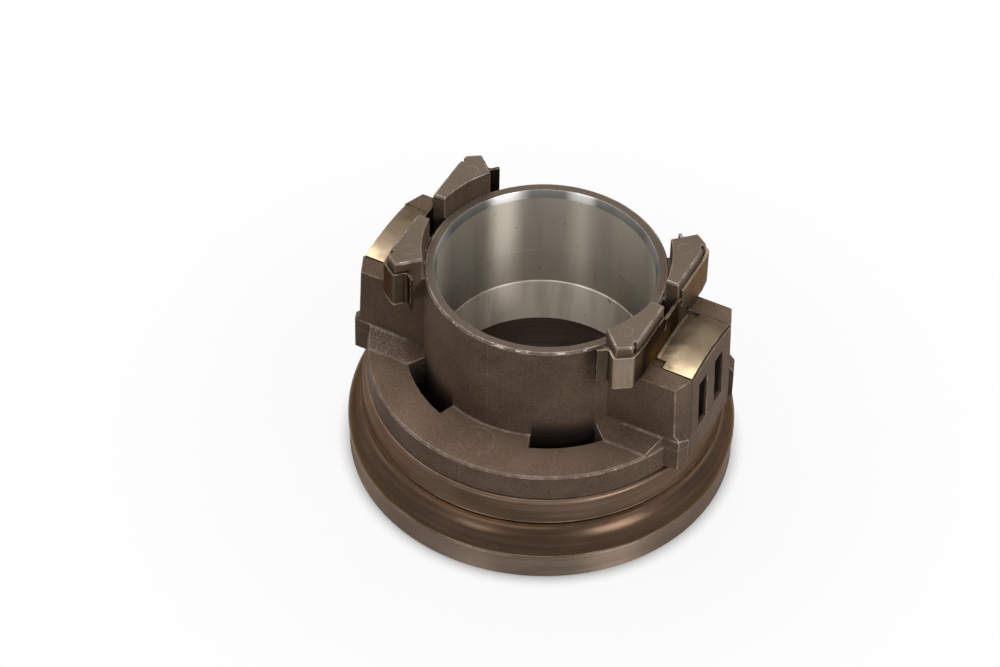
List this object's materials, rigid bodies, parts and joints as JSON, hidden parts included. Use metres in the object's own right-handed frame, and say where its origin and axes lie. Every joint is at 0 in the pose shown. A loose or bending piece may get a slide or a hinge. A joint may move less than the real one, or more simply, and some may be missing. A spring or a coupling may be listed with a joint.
{
  "type": "clutch release bearing",
  "caption": "Self-centring clutch release bearing: cast guide sleeve with fork lugs and spring clips on a ball bearing whose rotating thrust ring presses the clutch spring.",
  "frame": {"origin": "centre of the thrust face, where the bearing stands", "axes": "+Z along the guide bore towards the gearbox, +X through the middle of the right fork lug"},
  "size_m": [0.1118, 0.1118, 0.0746],
  "materials": {
    "cast_sleeve": "as-cast, oiled, machined bore",
    "spring_clip": "tempered straw colour",
    "plain_steel": "plain oiled steel",
    "oiled_sheet": "brown oiled sheet steel",
    "oiled_shell": "brown oiled deep drawn steel",
    "seal_rubber": "black rubber",
    "cage_plastic": "dark moulded polyamide",
    "turned_steel": "fine turned steel",
    "ball_steel": "polished bearing steel"
  },
  "bodies": {
    "sleeve": {"sleeve": "cast_sleeve", "fork_clip_right": "spring_clip", "fork_clip_left": "spring_clip", "support_washer": "plain_steel", "snap_ring": "plain_steel"},
    "disc_spring": {"disc_spring": "plain_steel"},
    "bearing_housing": {"retaining_cap": "oiled_sheet", "outer_ring": "oiled_shell", "inner_seal": "seal_rubber", "outer_seal": "seal_rubber"},
    "ball_set": {"ball_cage": "cage_plastic", "ball_01": "ball_steel", "ball_02": "ball_steel", "ball_03": "ball_steel", "ball_04": "ball_steel", "ball_05": "ball_steel", "ball_06": "ball_steel", "ball_07": "ball_steel", "ball_08": "ball_steel", "ball_09": "ball_steel", "ball_10": "ball_steel", "ball_11": "ball_steel", "ball_12": "ball_steel", "ball_13": "ball_steel", "ball_14": "ball_steel", "ball_15": "ball_steel", "ball_16": "ball_steel", "ball_17": "ball_steel", "ball_18": "ball_steel", "ball_19": "ball_steel", "ball_20": "ball_steel", "ball_21": "ball_steel", "ball_22": "ball_steel", "ball_23": "ball_steel", "ball_24": "ball_steel"},
    "thrust_ring": {"thrust_ring": "turned_steel"}
  },
  "joints": [
    {"name": "centring_x", "type": "slide", "parent": "sleeve", "child": "disc_spring", "axis": [1, 0, 0], "range_m": [-0.002, 0.002]},
    {"name": "centring_y", "type": "slide", "parent": "disc_spring", "child": "bearing_housing", "axis": [0, 1, 0], "range_m": [-0.002, 0.002]},
    {"name": "ring_spin", "type": "hinge", "parent": "bearing_housing", "child": "thrust_ring", "pos_m": [0, 0, 0], "axis": [0, 0, 1], "continuous": true},
    {"name": "cage_spin", "type": "hinge", "parent": "bearing_housing", "child": "ball_set", "pos_m": [0, 0, 0.0115], "axis": [0, 0, 1], "continuous": true}
  ],
  "couplings": [
    {"joint": "cage_spin", "follows": "ring_spin", "ratio": 0.4648}
  ]
}
